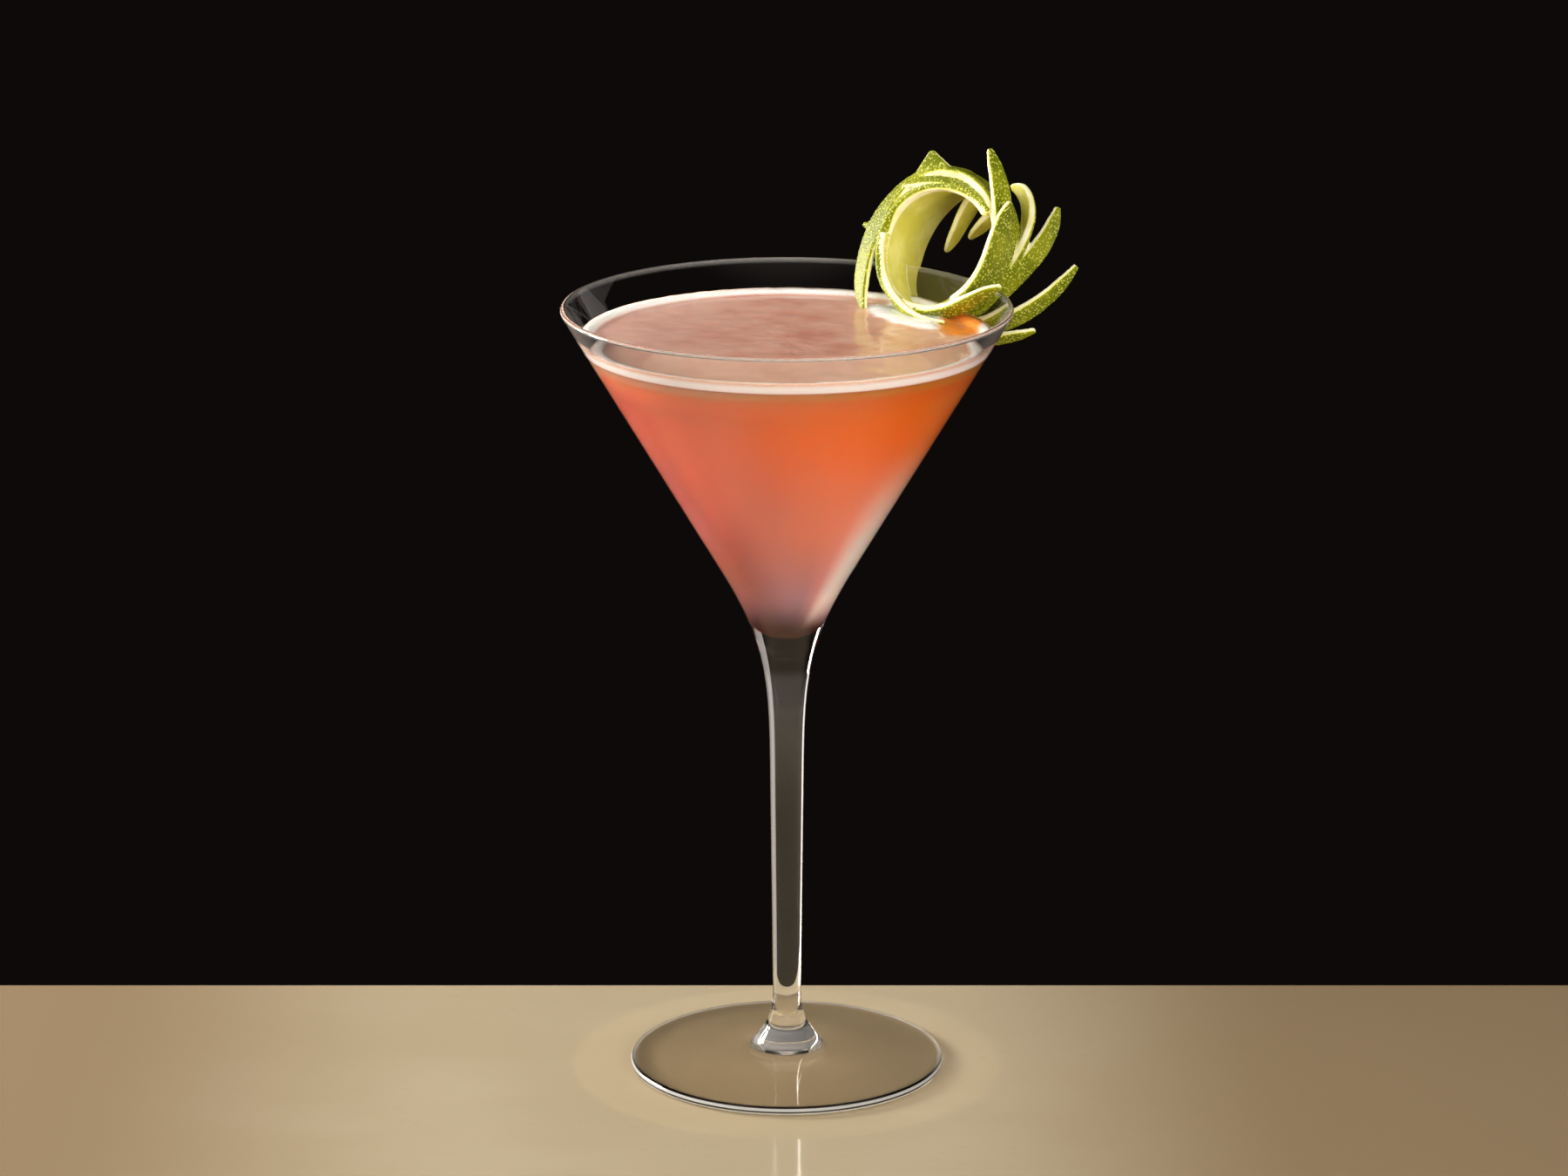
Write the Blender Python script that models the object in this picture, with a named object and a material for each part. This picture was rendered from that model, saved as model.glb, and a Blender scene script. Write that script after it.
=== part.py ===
"""A cosmopolitan in a martini glass, with a coil of slashed lime peel hooked over the rim.

Metres, +Z up. The origin is the middle of the foot's flat underside, and the glass turns about Z.
The peel is one strip, rolled up. It is worked out in the coil's own directions: u runs to the right,
v up and a back along the coil's axis, from the middle of its front opening.
"""

from math import atan, cos, degrees, pi, radians, sin

import bmesh
import bpy
import numpy as np
from mathutils import Vector

SEGMENTS = 64  # sides of every turned piece
GAP = 0.0003  # left between pieces that touch
SHARP_ANGLE = radians(40)  # edges sharper than this stay crisp

# Glass
HEIGHT = 0.1839
RIM_RADIUS = 0.0520
CONE_SLOPE = 0.5945  # outer radius gained for each unit of height
FLARE_START = 0.066  # where the stem begins to open into the bowl
FLARE_END = 0.1216
FLARE_LOW_HANDLE = 0.0272
FLARE_HIGH_HANDLE = 0.0197
STEM_TOP_RADIUS = 0.00386
STEM_LOW_RADIUS = 0.0033
STEM_LOW = 0.019
RIM_WALL = 0.00125  # thickness of the wall at the rounded rim
BOWL_FLOOR = 0.1065
BOWL_FLOOR_RADIUS = 0.0066  # radius of the rounding at the bottom of the hollow
INNER_SLOPE = 0.6127
FOOT_RADIUS = 0.03706
FOOT_EDGE = 0.0020  # thickness of the foot's rounded edge
FOOT_RISE = 0.0052  # height of the foot where it meets the collar
COLLAR_RADIUS = 0.0066
COLLAR_TOP = 0.0092
COLLAR_SKIRT = 0.0022  # how far the foot's top sweeps out from the collar
COLLAR_SHOULDER = 0.0014  # how far the collar's top edge is rounded in
NECK_PULL = 0.0024  # how long the collar's curve carries on into the neck
RIM_BEVEL = 0.0004  # height of the rim cutter's sloped shoulder

# Drink
FROTH_BOTTOM = 0.1745
FROTH_TOP = 0.1763
FROTH_EDGE_TOP = 0.1775  # the froth climbs the glass
FROTH_EDGE_WIDTH = 0.0035
FROTH_CREST = 0.0012  # width of the froth's flat top against the glass
FROTH_ROLL = (0.0014, 0.0008)  # handles of the froth's rounded edge
BARE_PATCH_AT = (0.0407, 0.0145)  # where the froth has parted beside the peel
BARE_PATCH_SIZE = (0.0052, 0.0115)
BARE_PATCH_TURN = radians(-8)

# Coil of peel
COIL_AT = Vector((0.0347, 0.0274, 0.1920))
COIL_AZIMUTH = radians(33)  # of its axis, from +Y towards +X
COIL_DIP = radians(25)  # how far its back end hangs down
PEEL = 0.0023  # thickness
BAND_STEPS = 64
BAND_TAPER = (10, 15)  # degrees over which the strip thins at its two ends
BAND_ENDS = (0.7, 0.6)  # share of the thickness left there
FINGER_STEPS = 12
FINGER_OVERLAP = 11  # degrees that a finger's root reaches back inside the strip
FINGER_INSET = 0.9  # distance of its middle line from the strip's edge, in half widths
START_PULL = 0.42  # handles of a finger's path, as shares of the way to its tip
END_PULL = 0.336
# Profiles of a finger from root to tip: shares of the way, and shares of the full value.
FINGER_WIDTHS = ((0, 0.3, 0.6, 0.85, 1), (1, 1, 0.92, 0.66, 0.22))
FINGER_THICKNESSES = ((0, 0.5, 1), (0.94, 0.88, 0.55))
FINGER_LEANS = ((0, 0.5, 1), (0, 0.85, 1))
TOOTH_STEPS = 3
TOOTH_TIP = 0.0005  # half width at a spike's tip
TOOTH_THICKNESSES = (0.9, 0.5)  # at its root and tip, as shares of the strip's
# Corners of the flat oval across a strip, in half widths and half thicknesses.
CORNERS = ((-1, -0.5), (-0.9, -1), (0.9, -1), (1, -0.5), (1, 0.5), (0.9, 1), (-0.9, 1), (-1, 0.5))
# Angle about the axis, radius of the front edge, front edge, back edge, lean of the skin towards the
# front in degrees, and how far the skin side is shifted back.
RADIUS, FRONT_EDGE, BACK_EDGE, LEAN, SHIFT = 1, 2, 3, 4, 5
COIL = (
    (45, 0.0142, 0.0005, 0.0150, 5, 0.0000),
    (70, 0.0139, 0.0000, 0.0170, 12, 0.0000),
    (95, 0.0141, 0.0003, 0.0210, 16, 0.0000),
    (120, 0.0151, 0.0010, 0.0240, 12, -0.0004),
    (145, 0.0163, 0.0018, 0.0240, 6, -0.0008),
    (170, 0.0157, 0.0012, 0.0215, 2, -0.0014),
    (190, 0.0152, 0.0005, 0.0190, 0, -0.0016),
    (230, 0.0156, 0.0000, 0.0150, 0, -0.0016),
    (270, 0.0152, 0.0000, 0.0150, 8, -0.0006),
    (320, 0.0137, 0.0000, 0.0150, 0, 0.0000),
    (370, 0.0149, 0.0005, 0.0140, 0, 0.0000),
    (420, 0.0163, 0.0015, 0.0120, 0, 0.0000),
    (450, 0.0180, 0.0025, 0.0090, 8, 0.0000),
    (480, 0.0194, 0.0030, 0.0088, 30, 0.0000),
)
FRONT, BACK = -1, 1
# The pointed fingers slashed from both edges: edge, angle of the root, half width, tip (u, v, a),
# how far the tip turns out of the straight line to it, lean of the skin at the tip, in degrees.
FINGERS = (
    (FRONT, 52, 0.0014, (-0.0140, 0.0135, 0.0022), 25, 45),
    (FRONT, 185, 0.0020, (0.0085, -0.0181, -0.0025), 45, 22),
    (FRONT, 258, 0.0022, (0.0214, -0.0080, -0.0030), 0, 25),
    (FRONT, 312, 0.0030, (0.0182, 0.0122, -0.0020), -5, 10),
    (FRONT, 365, 0.0027, (0.0082, 0.0244, 0.0000), 15, 28),
    (FRONT, 462, 0.0033, (-0.0156, -0.0173, 0.0010), 54, 70),
    (BACK, 338, 0.0034, (0.0065, 0.0195, 0.0170), 72, -55),
    (BACK, 318, 0.0031, (0.0198, 0.0161, 0.0170), 30, 12),
    (BACK, 264, 0.0028, (0.0289, 0.0028, 0.0160), 35, 12),
    (BACK, 258, 0.0022, (0.0240, -0.0143, 0.0125), 20, 15),
    (BACK, 420, 0.0029, (-0.0089, 0.0028, 0.0200), 10, 0),
    (BACK, 395, 0.0025, (-0.0034, 0.0067, 0.0200), 20, 0),
)
# Short spikes that stand up from the outer turn: root (u, v, a), tip (u, v, a), half width.
TEETH = (
    ((-0.0077, 0.0165, 0.0055), (-0.0094, 0.0231, 0.0040), 0.0070),
    ((-0.0205, 0.0031, 0.0050), (-0.0235, 0.0036, 0.0045), 0.0013),
)


def clear_scene():
    for obj in list(bpy.data.objects):
        bpy.data.objects.remove(obj, do_unlink=True)


def material(name, colour, roughness, transmission=0.0):
    made = bpy.data.materials.new(name)
    made.use_nodes = True
    shader = made.node_tree.nodes["Principled BSDF"]
    shader.inputs["Base Color"].default_value = (*colour, 1.0)
    shader.inputs["Roughness"].default_value = roughness
    shader.inputs["Metallic"].default_value = 0.0
    shader.inputs["Transmission Weight"].default_value = transmission
    made.diffuse_color = (*colour, 1.0)
    return made


def add_object(name, mesh_builder, finish):
    mesh = bpy.data.meshes.new(name)
    mesh_builder.to_mesh(mesh)
    mesh_builder.free()
    mesh.shade_smooth()
    mesh.set_sharp_from_angle(angle=SHARP_ANGLE)
    obj = bpy.data.objects.new(name, mesh)
    bpy.context.scene.collection.objects.link(obj)
    if finish:
        mesh.materials.append(finish)
    return obj


# Outlines, as (radius, height) pairs


def arc(centre, radius, start, end, steps):
    angles = [radians(start + (end - start) * i / steps) for i in range(steps + 1)]
    return [(centre[0] + radius * cos(a), centre[1] + radius * sin(a)) for a in angles]


def bezier(p0, p1, p2, p3, steps):
    points = [np.array(p) for p in (p0, p1, p2, p3)]
    shares = [i / steps for i in range(steps + 1)]
    return [
        (1 - t) ** 3 * points[0]
        + 3 * t * (1 - t) ** 2 * points[1]
        + 3 * t * t * (1 - t) * points[2]
        + t**3 * points[3]
        for t in shares
    ]


def between(x, stations, values):
    return float(np.interp(x, stations, values))


def rim_point(angle):
    """A point of the half-round rim, in degrees from outward."""
    half = RIM_WALL / 2
    return RIM_RADIUS - half + half * cos(radians(angle)), HEIGHT - half + half * sin(radians(angle))


def cone_radius(height):
    """Outer radius of the bowl on its straight part, which runs off the rim."""
    radius, top = rim_point(-degrees(atan(CONE_SLOPE)))
    return radius - CONE_SLOPE * (top - height)


def hollow_radius(height):
    """Inner radius of the bowl on its straight part."""
    radius, top = rim_point(180 - degrees(atan(INNER_SLOPE)))
    return radius - INNER_SLOPE * (top - height)


def foot_outline():
    edge = FOOT_EDGE / 2
    rounded = arc((FOOT_RADIUS - edge, edge), edge, -90, 75, 6)
    shoulder = COLLAR_RADIUS - COLLAR_SHOULDER
    collar = bezier(
        (COLLAR_RADIUS + COLLAR_SKIRT, FOOT_RISE),
        (COLLAR_RADIUS + 0.0004, FOOT_RISE + 0.0004),
        (COLLAR_RADIUS + 0.0003, COLLAR_TOP - 0.0016),
        (shoulder, COLLAR_TOP),
        4,
    )
    neck = bezier(
        (shoulder, COLLAR_TOP),
        (shoulder - 0.0011, COLLAR_TOP + NECK_PULL),
        (STEM_LOW_RADIUS, STEM_LOW - 0.005),
        (STEM_LOW_RADIUS, STEM_LOW),
        4,
    )
    return [(0.0, 0.0), *rounded, *collar, *neck[1:]]


def flare_outline():
    return bezier(
        (STEM_TOP_RADIUS, FLARE_START),
        (STEM_TOP_RADIUS + 0.01 * FLARE_LOW_HANDLE, FLARE_START + FLARE_LOW_HANDLE),
        (cone_radius(FLARE_END - FLARE_HIGH_HANDLE), FLARE_END - FLARE_HIGH_HANDLE),
        (cone_radius(FLARE_END), FLARE_END),
        12,
    )


def rim_outline():
    first = -degrees(atan(CONE_SLOPE))
    last = 180 - degrees(atan(INNER_SLOPE))
    return [rim_point(first + (last - first) * i / 6) for i in range(7)]


def hollow_outline():
    """The hollow from the rim down to its rounded bottom on the axis."""
    lean = degrees(atan(INNER_SLOPE))
    centre = (0.0, BOWL_FLOOR + BOWL_FLOOR_RADIUS)
    return arc(centre, BOWL_FLOOR_RADIUS, -lean, -90, 5)


def glass_outline():
    return [*foot_outline(), *flare_outline(), *rim_outline(), *hollow_outline()]


def spun(outline, closed=False):
    """The surface that an outline sweeps out about Z, its normals outwards."""
    builder = bmesh.new()
    verts = [builder.verts.new((r, 0.0, z)) for r, z in outline]
    ends = verts[1:] + verts[:1] if closed else verts[1:]
    edges = [builder.edges.new(pair) for pair in zip(verts, ends)]
    bmesh.ops.spin(
        builder,
        geom=verts + edges,
        axis=(0, 0, 1),
        cent=(0, 0, 0),
        angle=2 * pi,
        steps=SEGMENTS,
        use_merge=True,
    )
    bmesh.ops.remove_doubles(builder, verts=builder.verts, dist=1e-6)
    bmesh.ops.recalc_face_normals(builder, faces=builder.faces)
    return builder


def drink_outline():
    """The liquid: the hollow up to the froth, less the gap."""
    top = FROTH_BOTTOM - GAP
    lean = degrees(atan(INNER_SLOPE))
    centre = (0.0, BOWL_FLOOR + BOWL_FLOOR_RADIUS)
    floor = arc(centre, BOWL_FLOOR_RADIUS - GAP, -90, -lean, 5)
    return [*floor, (hollow_radius(top) - GAP / cos(radians(lean)), top), (0.0, top)]


def froth_outline():
    side_gap = GAP / cos(atan(INNER_SLOPE))
    low = (hollow_radius(FROTH_BOTTOM) - side_gap, FROTH_BOTTOM)
    high = (hollow_radius(FROTH_EDGE_TOP) - side_gap, FROTH_EDGE_TOP)
    inner = (high[0] - FROTH_EDGE_WIDTH, FROTH_TOP)
    crest = (high[0] - FROTH_CREST, FROTH_EDGE_TOP)
    from_crest = (crest[0] - FROTH_ROLL[0], crest[1])
    roll = bezier(crest, from_crest, (inner[0] + FROTH_ROLL[1], inner[1]), inner, 4)
    return [(0.0, FROTH_BOTTOM), low, high, *roll, (0.0, FROTH_TOP)]


# Peel


def coil_axes():
    u = Vector((cos(COIL_AZIMUTH), -sin(COIL_AZIMUTH), 0.0))
    a = Vector((sin(COIL_AZIMUTH) * cos(COIL_DIP), cos(COIL_AZIMUTH) * cos(COIL_DIP), -sin(COIL_DIP)))
    return u, u.cross(a), a


U, V, A = coil_axes()
SMOOTHING = np.linspace(-14, 14, 9)


def coil_value(angle, column):
    """A column of COIL at this angle, with its corners smoothed."""
    table = np.array(COIL)
    return float(np.interp(angle + SMOOTHING, table[:, 0], table[:, column]).mean())


def outward(angle):
    return cos(radians(angle)) * U + sin(radians(angle)) * V


def ring_point(u, v, a):
    return COIL_AT + u * U + v * V + a * A


def leaning(side, face, lean):
    """The strip's two cross directions, turned so that its skin leans towards the front."""
    c, s = cos(radians(lean)), sin(radians(lean))
    return c * side + s * face, c * face - s * side


def coil_point(angle, along):
    """A point halfway through the strip, which leans from its front edge."""
    side, _ = leaning(A, outward(angle), coil_value(angle, LEAN))
    front = coil_value(angle, FRONT_EDGE)
    return COIL_AT + coil_value(angle, RADIUS) * outward(angle) + front * A + (along - front) * side


def coil_direction(angle, along):
    return (coil_point(angle + 1, along) - coil_point(angle - 1, along)).normalized()


def cross_section(centre, side, out, half_width, thickness, shift=0.0):
    """A flat oval of eight corners across the strip."""
    half = thickness / 2
    return [centre + (x * half_width + y * shift / 2) * side + y * half * out for x, y in CORNERS]


def band_sections(grow):
    first, last = COIL[0][0], COIL[-1][0]
    stations = (first, first + BAND_TAPER[0], last - BAND_TAPER[1], last)
    sections = []
    for angle in np.linspace(first, last, BAND_STEPS):
        front, back = coil_value(angle, FRONT_EDGE), coil_value(angle, BACK_EDGE)
        side, face = leaning(A, outward(angle), coil_value(angle, LEAN))
        centre = coil_point(angle, (front + back) / 2)
        half_width = (back - front) / 2 + grow
        thickness = PEEL * between(angle, stations, (BAND_ENDS[0], 1, 1, BAND_ENDS[1]))
        shift = coil_value(angle, SHIFT)
        sections.append(cross_section(centre, side, face, half_width, thickness + 2 * grow, shift))
    return sections


def finger_path(edge, root, half_width, tip, turn):
    """Points from inside the band, along it, and away from it to the tip."""
    column = FRONT_EDGE if edge == FRONT else BACK_EDGE
    along = coil_value(root, column) - edge * FINGER_INSET * half_width
    start, leaving = coil_point(root, along), coil_direction(root, along)
    end = ring_point(*tip)
    chord = end - start
    across, up, back = chord.dot(U), chord.dot(V), chord.dot(A)
    c, s = cos(radians(turn)), sin(radians(turn))
    arriving = (across * c - up * s) * U + (across * s + up * c) * V + back * A
    from_start = start + START_PULL * chord.length * leaving
    to_end = end - END_PULL * chord.length * arriving.normalized()
    path = bezier(start, from_start, to_end, end, FINGER_STEPS)
    inside = coil_point(root - FINGER_OVERLAP, along)
    return [inside, *(Vector(point) for point in path)]


def finger_sections(edge, root, half_width, tip, turn, tip_lean, grow):
    path = finger_path(edge, root, half_width, tip, turn)
    last = len(path) - 1
    root_lean = coil_value(root, LEAN)
    out = outward(root)
    sections = []
    for i, point in enumerate(path):
        share = max(i - 1, 0) / (last - 1)
        ahead = (path[min(i + 1, last)] - path[max(i - 1, 0)]).normalized()
        side = (A - A.dot(ahead) * ahead).normalized()
        normal = ahead.cross(side)
        if normal.dot(out) < 0:
            normal.negate()
        out = normal
        lean = root_lean + (tip_lean - root_lean) * between(share, *FINGER_LEANS)
        across, face = leaning(side, normal, lean)
        width = half_width * between(share, *FINGER_WIDTHS)
        thickness = PEEL * between(share, *FINGER_THICKNESSES)
        sections.append(cross_section(point, across, face, width + grow, thickness + 2 * grow))
    return sections


def tooth_sections(root, tip, half_width, grow):
    """A spike whose skin faces the front."""
    start, end = ring_point(*root), ring_point(*tip)
    ahead = (end - start).normalized()
    face = (A.dot(ahead) * ahead - A).normalized()
    side = ahead.cross(face)
    sections = []
    for share in [i / TOOTH_STEPS for i in range(TOOTH_STEPS + 1)]:
        width = half_width + (TOOTH_TIP - half_width) * share
        thickness = PEEL * between(share, (0, 1), TOOTH_THICKNESSES)
        point = start + (end - start) * share
        sections.append(cross_section(point, side, face, width + grow, thickness + 2 * grow))
    return sections


def skinned(sections):
    """A closed solid through the sections, with flat ends."""
    builder = bmesh.new()
    rings = [[builder.verts.new(corner) for corner in section] for section in sections]
    count = len(rings[0])
    for near, far in zip(rings, rings[1:]):
        for i in range(count):
            builder.faces.new((near[i], near[(i + 1) % count], far[(i + 1) % count], far[i]))
    builder.faces.new(reversed(rings[0]))
    builder.faces.new(rings[-1])
    bmesh.ops.recalc_face_normals(builder, faces=builder.faces)
    return builder


def peel_pieces(grow):
    pieces = [band_sections(grow)]
    pieces += [finger_sections(*row, grow) for row in FINGERS]
    pieces += [tooth_sections(*row, grow) for row in TEETH]
    return [add_object(f"peel_piece_{i}", skinned(s), None) for i, s in enumerate(pieces)]


# Joining and cutting


def apply_modifiers(obj):
    graph = bpy.context.evaluated_depsgraph_get()
    mesh = bpy.data.meshes.new_from_object(obj.evaluated_get(graph))
    obj.modifiers.clear()
    obj.data = mesh


def remove(objects):
    for obj in objects:
        bpy.data.objects.remove(obj, do_unlink=True)


def joined(name, pieces, finish):
    """One solid from overlapping pieces, by one union on a collection."""
    helpers = bpy.data.collections.new(name + "_pieces")
    bpy.context.scene.collection.children.link(helpers)
    for piece in pieces[1:]:
        helpers.objects.link(piece)
    whole = pieces[0]
    union = whole.modifiers.new("union", "BOOLEAN")
    union.operation = "UNION"
    union.operand_type = "COLLECTION"
    union.collection = helpers
    union.solver = "EXACT"
    apply_modifiers(whole)
    remove(pieces[1:])
    bpy.data.collections.remove(helpers)
    whole.name = name
    if finish:
        whole.data.materials.append(finish)
    return whole


def cut(obj, cutter):
    """Takes the cutter's shape out of the object, applied."""
    difference = obj.modifiers.new("cut", "BOOLEAN")
    difference.operation = "DIFFERENCE"
    difference.object = cutter
    difference.solver = "EXACT"
    apply_modifiers(obj)


def keep_largest(obj):
    """Drops the loose scraps that a cut leaves."""
    builder = bmesh.new()
    builder.from_mesh(obj.data)
    left = set(builder.verts)
    bodies = []
    while left:
        todo = [left.pop()]
        body = set(todo)
        while todo:
            for edge in todo.pop().link_edges:
                for vert in edge.verts:
                    if vert not in body:
                        body.add(vert)
                        todo.append(vert)
        left -= body
        bodies.append(body)
    largest = max(bodies, key=len)
    scraps = [vert for body in bodies if body is not largest for vert in body]
    bmesh.ops.delete(builder, geom=scraps, context="VERTS")
    builder.to_mesh(obj.data)
    builder.free()


def smooth_shading(obj):
    obj.data.shade_smooth()
    obj.data.set_sharp_from_angle(angle=SHARP_ANGLE)


def wall_cutter():
    """The bowl's wall and rim, larger by the gap, to make the slit that sits over the rim."""
    low = FROTH_BOTTOM - 0.030
    top, shoulder = HEIGHT + GAP, HEIGHT - RIM_BEVEL
    side = 1.2 * GAP
    flat = 0.0002
    outer = [(cone_radius(low) + side, low), (RIM_RADIUS + side, shoulder), (RIM_RADIUS - flat, top)]
    inner = [(RIM_RADIUS - RIM_WALL + flat, top), (hollow_radius(HEIGHT) - side, shoulder)]
    outline = [*outer, *inner, (hollow_radius(low) - side, low)]
    return add_object("wall_cutter", spun(outline, closed=True), None)


def patch_cutter():
    """An upright oval rod where the froth has parted."""
    builder = bmesh.new()
    bmesh.ops.create_cone(builder, cap_ends=True, segments=24, radius1=1.0, radius2=1.0, depth=0.02)
    obj = add_object("patch_cutter", builder, None)
    obj.location = (*BARE_PATCH_AT, FROTH_BOTTOM)
    obj.rotation_euler = (0, 0, BARE_PATCH_TURN)
    obj.scale = (*BARE_PATCH_SIZE, 1.0)
    return obj


def build():
    clear_scene()
    glass_finish = material("clear_glass", (0.95, 0.96, 0.96), 0.03, 1.0)
    drink_finish = material("cosmopolitan", (0.78, 0.20, 0.10), 0.15)
    froth_finish = material("froth", (0.80, 0.58, 0.48), 0.6)
    peel_finish = material("lime_peel", (0.30, 0.36, 0.04), 0.45)

    add_object("glass", spun(glass_outline()), glass_finish)
    drink = add_object("drink", spun(drink_outline()), drink_finish)
    froth = add_object("froth", spun(froth_outline()), froth_finish)

    twist = joined("lime_twist", peel_pieces(0.0), peel_finish)
    wall = wall_cutter()
    bpy.context.view_layer.update()
    cut(twist, wall)
    keep_largest(twist)
    smooth_shading(twist)

    clearance = joined("peel_clearance", peel_pieces(GAP), None)
    patch = patch_cutter()
    bpy.context.view_layer.update()
    cut(drink, clearance)
    cut(froth, clearance)
    cut(froth, patch)
    keep_largest(drink)
    keep_largest(froth)
    remove([wall, clearance, patch])


build()
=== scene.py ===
from collections import namedtuple
from math import atan, cos, degrees, pi, radians, sin

import bmesh
import bpy
import numpy as np
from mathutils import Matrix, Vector, noise
from mathutils.kdtree import KDTree


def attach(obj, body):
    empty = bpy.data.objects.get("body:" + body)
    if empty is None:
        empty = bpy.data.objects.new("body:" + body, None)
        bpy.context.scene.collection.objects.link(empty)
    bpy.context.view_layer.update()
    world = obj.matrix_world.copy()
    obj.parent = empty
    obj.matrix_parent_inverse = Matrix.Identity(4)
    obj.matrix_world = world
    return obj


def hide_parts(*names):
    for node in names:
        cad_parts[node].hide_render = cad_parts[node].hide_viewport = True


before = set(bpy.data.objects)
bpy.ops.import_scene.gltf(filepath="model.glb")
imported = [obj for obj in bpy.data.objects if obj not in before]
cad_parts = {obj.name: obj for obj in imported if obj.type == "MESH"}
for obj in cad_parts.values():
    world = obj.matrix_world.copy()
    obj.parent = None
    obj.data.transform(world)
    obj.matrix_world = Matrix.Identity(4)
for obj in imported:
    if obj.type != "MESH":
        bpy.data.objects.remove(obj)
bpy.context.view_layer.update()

# Metres, +Z up. The shapes repeat the CAD's named sizes, with finer steps. The peel is one strip, rolled up.
# It is worked out in the coil's own directions: u runs to the right, v up and a back along its axis.

SEGMENTS = 192  # sides of every turned piece

# Glass
HEIGHT = 0.1839
RIM_RADIUS = 0.0520
CONE_SLOPE = 0.5945  # outer radius gained for each unit of height
FLARE_START = 0.066  # where the stem begins to open into the bowl
FLARE_END = 0.1216
FLARE_LOW_HANDLE = 0.0272
FLARE_HIGH_HANDLE = 0.0197
STEM_TOP_RADIUS = 0.00386
STEM_LOW_RADIUS = 0.0033
STEM_LOW = 0.019
RIM_WALL = 0.00125  # thickness of the wall at the rounded rim
BOWL_FLOOR = 0.1065
BOWL_FLOOR_RADIUS = 0.0066  # radius of the rounding at the bottom of the hollow
INNER_SLOPE = 0.6127
FOOT_RADIUS = 0.03706
FOOT_EDGE = 0.0020  # thickness of the foot's rounded edge
FOOT_RISE = 0.0052  # height of the foot where it meets the collar
FOOT_RING = 0.0352  # the flat ring that the foot stands on starts here
FOOT_HOLLOW = 0.0028  # height of the shallow hollow under the foot
COLLAR_RADIUS = 0.0066
COLLAR_TOP = 0.0092
COLLAR_SKIRT = 0.0022  # how far the foot's top sweeps out from the collar
COLLAR_SHOULDER = 0.0014  # how far the collar's top edge is rounded in
NECK_PULL = 0.0024  # how long the collar's curve carries on into the neck

# Steps along the outlines
ARC_STEPS = 20
COLLAR_STEPS = 16
FOOT_HOLLOW_STEPS = 24
STEM_STEPS = 12
FLARE_STEPS = 48
WALL_STEPS = 16
DRINK_SIDE_STEPS = 24
FROTH_SIDE_STEPS = 8
FROTH_ROLL_STEPS = 12
FROTH_TOP_STEPS = 40

# Drink and froth
INTO_WALL = 0.00012  # how far the drink reaches into the glass, so that no air gap shows
INTO_FROTH = 0.0003  # how far it rises into the froth
FROM_FROTH_EDGE = 0.0006  # over this distance from the glass
FROTH_BOTTOM = 0.1745
FROTH_TOP = 0.1763
FROTH_EDGE_TOP = 0.1775  # the froth climbs the glass
FROTH_EDGE_WIDTH = 0.0035
FROTH_CREST = (0.0010, 0.0001)  # inner end of the edge's flat top: inward and down from the glass
FROTH_ROLL = (0.0014, 0.0010)  # handles of the froth's rounded edge
FROTH_FACE = 0.0002  # what lies further below the froth's top is its side
FROTH_AT_GLASS = 0.0003  # and so is what lies this near the glass
SWELLS = ((0.00012, 0, 260), (0.00010, 3, 900))  # height, layer of the noise, scale
BARE_PATCH_AT = (0.0407, 0.0145)  # where the froth has parted beside the peel
BARE_PATCH_SIZE = (0.0058, 0.0130)
BARE_PATCH_TURN = radians(-8)
BARE_PATCH_DIP = 0.0005
# A bank of foam lies beside the peel, along this line.
FOAM_LINE = ((0.0217, 0.0310), (0.0229, 0.0242), (0.0270, 0.0172), (0.0332, 0.0115))
FOAM_LINE_WIDTH = 0.0036
FOAM_LINE_RAGGED = (0.35, 7, 420)  # share of the width, layer of the noise, scale
FOAM_LINE_STRENGTH = 1.6
FOAM_FROM_X = 0.0195  # the finger left of this stands in the froth without a ring of foam
FOAM_REACH = 0.0035  # how far from the peel the foam reaches
FOAM_LIFT = 0.0006  # how high it climbs
FOAM_CURVE = 1.5  # it climbs by its nearness to this power
CLEAR_OF_BARE = 0.8  # in the bare patch it is flat up to here, where 1 is the patch's edge
CLEAR_OF_BARE_SLOPE = 3
PEEL_IS_WET = 0.0012  # the peel gathers foam where it is this near the height of the froth's top

# Coil of peel
COIL_AT = Vector((0.0347, 0.0274, 0.1920))
COIL_AZIMUTH = radians(33)  # of its axis, from +Y towards +X
COIL_DIP = radians(25)  # how far its back end hangs down
PEEL = 0.0023  # thickness
BAND_STEPS = 320
BAND_TAPER = (10, 15)  # degrees over which the strip thins at its two ends
BAND_ENDS = (0.7, 0.6)  # share of the thickness left there
FINGER_STEPS = 60
FINGER_OVERLAP = 11  # degrees that a finger's root reaches back inside the strip
OVERLAP_STEPS = 5
OVERLAP_STEP = 2.2
FINGER_INSET = 0.9  # distance of its middle line from the strip's edge, in half widths
START_PULL = 0.42  # first handle of a finger's path, as a share of the way to its tip
END_PULL = 0.8  # last handle, as a share of the first
# Profiles of a finger from root to tip: shares of the way, and shares of the full value.
FINGER_WIDTHS = ((0, 0.3, 0.6, 0.85, 1), (1, 1, 0.92, 0.66, 0.22))
FINGER_THICKNESSES = ((0, 0.5, 1), (0.94, 0.88, 0.55))
FINGER_LEANS = ((0, 0.5, 1), (0, 0.85, 1))
TOOTH_STEPS = 24
TOOTH_TIP = 0.0005  # half width at a spike's tip
TOOTH_THICKNESSES = (0.9, 0.5)  # at its root and tip, as shares of the strip's
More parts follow.
